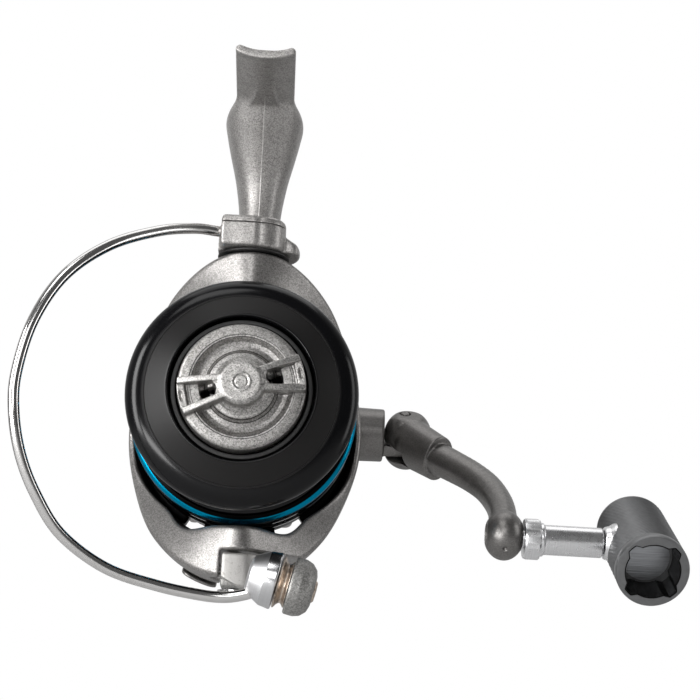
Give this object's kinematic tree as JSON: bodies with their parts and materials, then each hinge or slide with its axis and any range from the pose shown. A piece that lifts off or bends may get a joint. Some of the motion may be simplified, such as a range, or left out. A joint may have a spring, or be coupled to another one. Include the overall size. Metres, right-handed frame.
{
  "type": "spinning reel",
  "caption": "Front-drag fishing reel with a foot on a stem, a rotor with a wire bail and line roller, a wide spool, a drag knob and a folding crank handle with a round knob.",
  "frame": {"origin": "middle of the foot's seat, where the rod lies", "axes": "+Z out of the foot's seat towards the rod, +Y to the rear of the reel along the spool axis, +X to the handle"},
  "size_m": [0.1454, 0.1226, 0.1265],
  "materials": {
    "silver_paint": "fine silver-grey sparkle paint over a casting",
    "gunmetal": "satin gunmetal coating",
    "gloss_black": "glossy black anodising",
    "blue_anodised": "bright blue anodising",
    "cast_silver": "coarse sparkling silver paint",
    "steel": "polished stainless steel",
    "bright_aluminium": "bright satin turned aluminium",
    "champagne": "polished gold-brown hard coating",
    "knurled_grey": "dark grey anodised knurled aluminium",
    "brass": "turned brass",
    "zinc": "die-cast zinc alloy",
    "fibre": "pressed fibre",
    "rubber": "black rubber"
  },
  "bodies": {
    "case": {"body_housing": "silver_paint", "side_cover": "silver_paint", "rear_cover": "gunmetal", "cover_screw_1": "steel", "cover_screw_2": "steel", "cover_screw_3": "steel", "handle_side_bearing": "steel", "cover_side_bearing": "steel", "pinion_bearing": "steel", "one_way_clutch": "zinc", "clutch_retainer": "steel", "guide_rod_upper": "steel", "guide_rod_lower": "steel", "oscillation_stud": "steel", "shaft_cap": "gunmetal"},
    "rotor": {"rotor": "silver_paint", "rotor_nut": "steel", "pinion_gear": "brass", "upper_arm_cover": "silver_paint", "lower_arm_cover": "silver_paint", "bail_bush": "rubber", "bail_spring": "steel", "bail_arm_screw": "steel", "bail_holder_screw": "steel"},
    "bail": {"bail_arm": "silver_paint", "bail_holder": "silver_paint", "bail_wire": "steel", "bail_cone": "bright_aluminium", "roller_bush": "brass", "roller_screw": "champagne"},
    "roller": {"line_roller": "champagne"},
    "shaft": {"main_shaft": "steel", "oscillation_slider": "zinc", "slider_screw": "steel", "spool_washer": "zinc", "click_ratchet": "zinc"},
    "spool": {"spool": "gloss_black", "spool_lip": "gloss_black", "skirt_ring": "blue_anodised", "spool_bush": "brass", "drag_fibre_washer_1": "fibre", "drag_metal_washer_1": "steel", "drag_fibre_washer_2": "fibre", "drag_metal_washer_2": "steel", "drag_fibre_washer_3": "fibre", "drag_retaining_ring": "steel"},
    "drag": {"drag_knob": "cast_silver", "drag_nut": "brass", "drag_spring": "steel", "drag_seal": "rubber"},
    "drive": {"drive_gear": "zinc", "handle_shank": "gunmetal"},
    "arm": {"handle_arm": "gunmetal", "fold_pin": "steel", "knob_spindle": "bright_aluminium", "spindle_nut": "bright_aluminium"},
    "grip": {"handle_knob": "knurled_grey"},
    "oscillation": {"oscillation_gear": "brass"},
    "lever": {"anti_reverse_lever": "gloss_black"}
  },
  "joints": [
    {"name": "rotor_spin", "type": "hinge", "parent": "case", "child": "rotor", "pos_m": [0, 0.0125, -0.08], "axis": [0, 1, 0], "continuous": true},
    {"name": "handle_spin", "type": "hinge", "parent": "case", "child": "drive", "pos_m": [0, 0.032, -0.0735], "axis": [1, 0, 0], "continuous": true},
    {"name": "oscillation_spin", "type": "hinge", "parent": "case", "child": "oscillation", "pos_m": [0, 0.0456, -0.08], "axis": [1, 0, 0], "continuous": true},
    {"name": "shaft_stroke", "type": "slide", "parent": "case", "child": "shaft", "axis": [0, 1, 0], "range_m": [-0.003, 0.009]},
    {"name": "spool_spin", "type": "hinge", "parent": "shaft", "child": "spool", "pos_m": [0, -0.021, -0.08], "axis": [0, 1, 0], "continuous": true},
    {"name": "drag_knob_turn", "type": "hinge", "parent": "shaft", "child": "drag", "pos_m": [0, -0.046, -0.08], "axis": [0, 1, 0], "range_deg": [-720, 360]},
    {"name": "bail_flip", "type": "hinge", "parent": "rotor", "child": "bail", "pos_m": [0, -0.021, -0.08], "axis": [0, 0, 1], "range_deg": [0, 95]},
    {"name": "line_roller_spin", "type": "hinge", "parent": "bail", "child": "roller", "pos_m": [0.0111, -0.0325, -0.1182], "axis": [0.9744, 0, -0.225], "continuous": true},
    {"name": "handle_fold", "type": "hinge", "parent": "drive", "child": "arm", "pos_m": [0.0388, 0.032, -0.0735], "axis": [0, -0.5592, 0.829], "range_deg": [0, 90]},
    {"name": "knob_spin", "type": "hinge", "parent": "arm", "child": "grip", "pos_m": [0.09, -0.01128, -0.10269], "axis": [1, 0, 0], "continuous": true},
    {"name": "anti_reverse_lever_tilt", "type": "hinge", "parent": "case", "child": "lever", "pos_m": [0, 0.047, -0.0982], "axis": [1, 0, 0], "range_deg": [-25, 0]}
  ],
  "couplings": [
    {"joint": "handle_spin", "follows": "rotor_spin", "ratio": -0.19355},
    {"joint": "oscillation_spin", "follows": "rotor_spin", "ratio": 0.12097}
  ]
}
